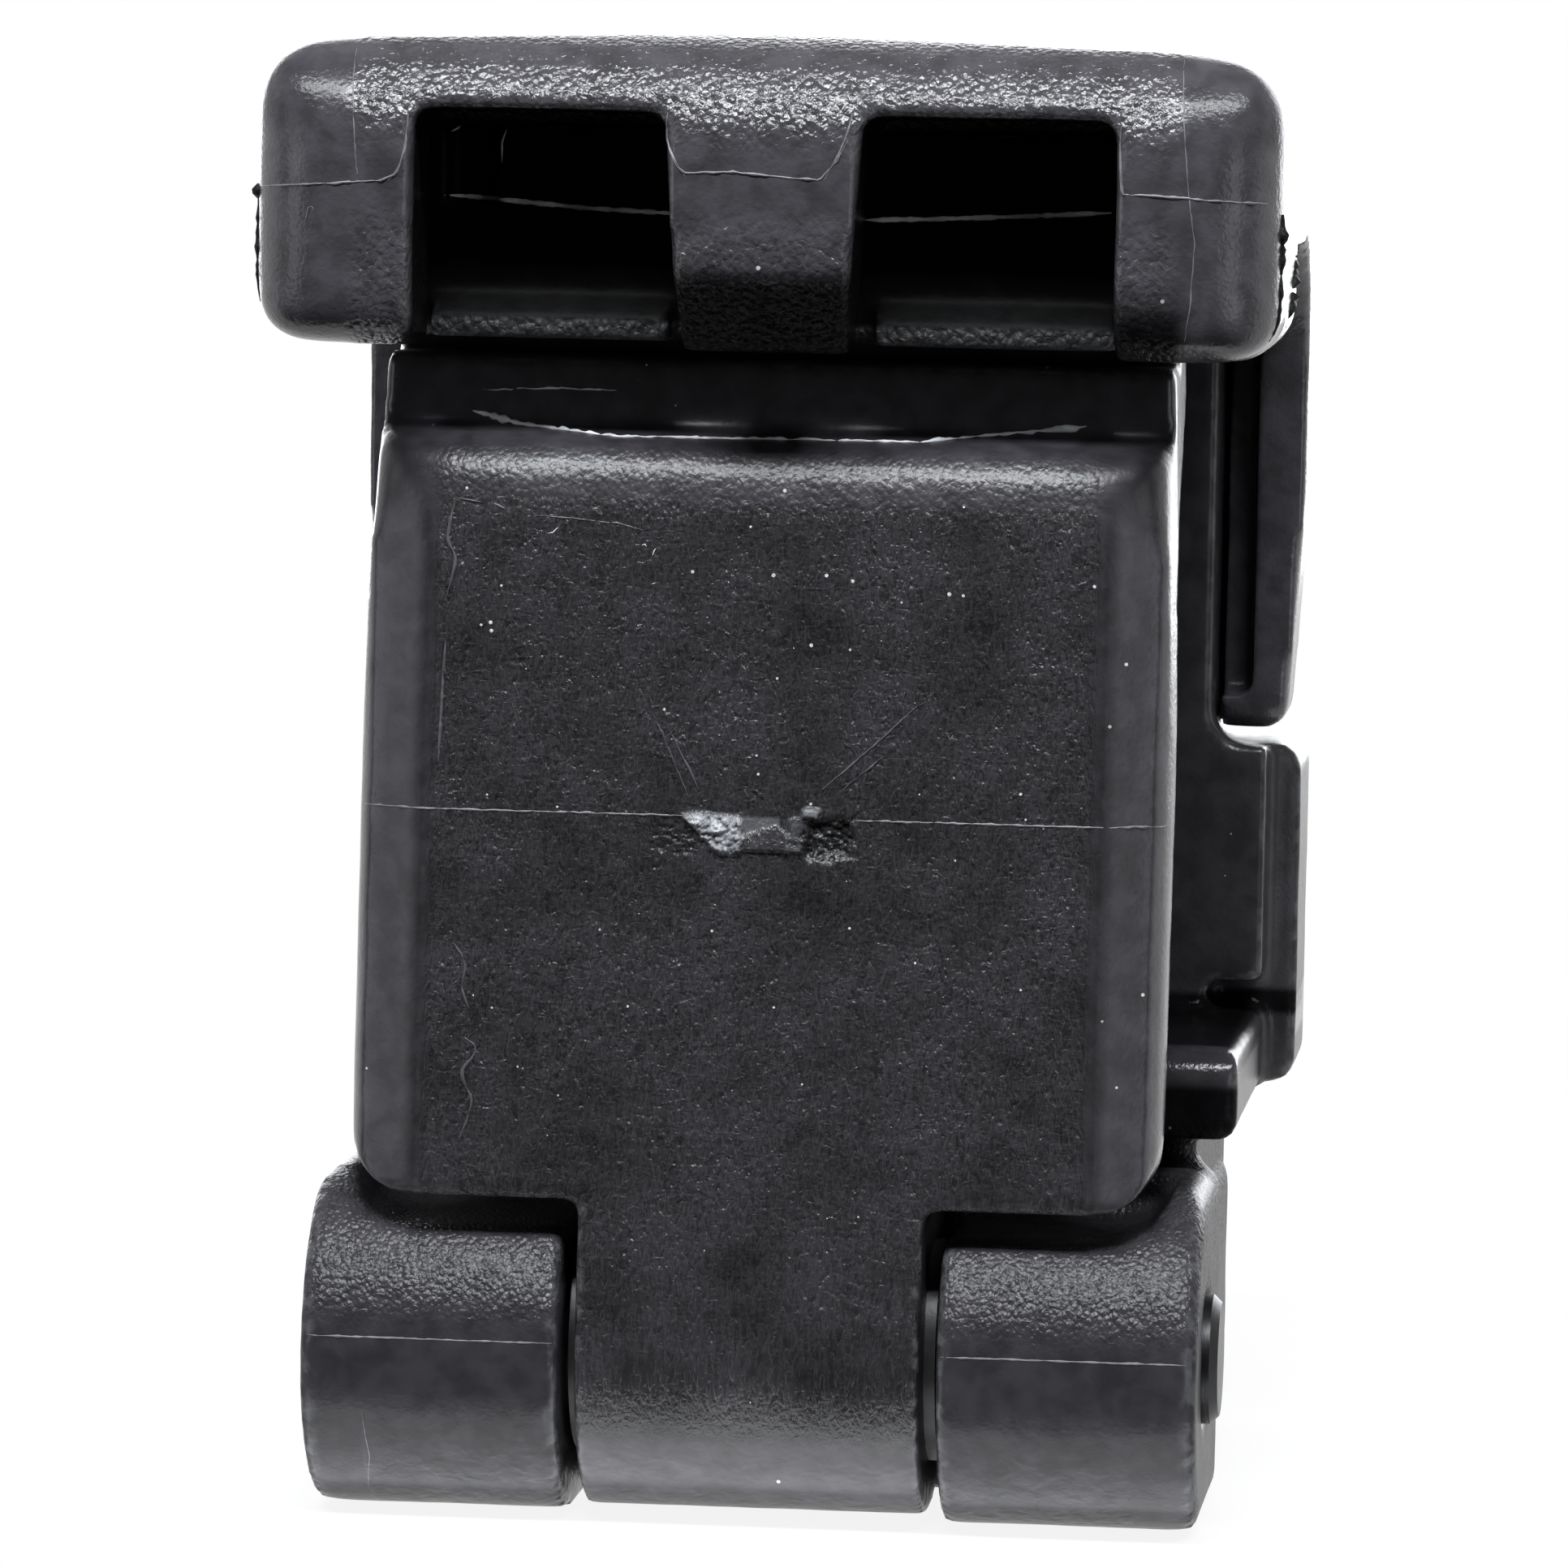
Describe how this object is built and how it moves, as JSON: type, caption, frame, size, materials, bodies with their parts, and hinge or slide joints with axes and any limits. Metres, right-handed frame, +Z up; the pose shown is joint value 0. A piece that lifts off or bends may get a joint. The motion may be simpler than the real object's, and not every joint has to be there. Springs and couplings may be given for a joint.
{
  "type": "gated horn fitting",
  "caption": "Small moulded deck horn: a broad fingered horn overhangs an eye for a line, which a sprung gate hinged at its foot closes from the front.",
  "frame": {"origin": "on the deck plane, midway between the two deck inserts", "axes": "+X across the horn, to the right as seen from the gate's side; +Y from the gate to the back; +Z up from the deck"},
  "size_m": [0.0314, 0.0309, 0.0458],
  "materials": {
    "body_plastic": "moulded, leathery grain",
    "bar_plastic": "moulded, dull",
    "gate_plastic": "moulded, fine grain",
    "pin_steel": "ground",
    "bush_plastic": "smooth",
    "spring_steel": "drawn wire",
    "screw_steel": "passivated",
    "insert_brass": "turned"
  },
  "bodies": {
    "frame": {"base": "body_plastic", "horn_head": "body_plastic", "catch_bar": "bar_plastic", "hinge_pin": "pin_steel", "gate_spring": "spring_steel", "head_screws": "screw_steel", "head_inserts": "insert_brass", "bar_screws": "screw_steel", "deck_inserts": "insert_brass"},
    "gate": {"gate": "gate_plastic", "left_bush": "bush_plastic", "right_bush": "bush_plastic"}
  },
  "joints": [
    {"name": "gate_hinge", "type": "hinge", "parent": "frame", "child": "gate", "pos_m": [0, -0.012, 0.0053], "axis": [-1, 0, 0], "range_deg": [0, 18], "stiffness_Nm_per_rad": 0.05, "springref_deg": -20.05, "deforming": ["gate_spring"]}
  ]
}
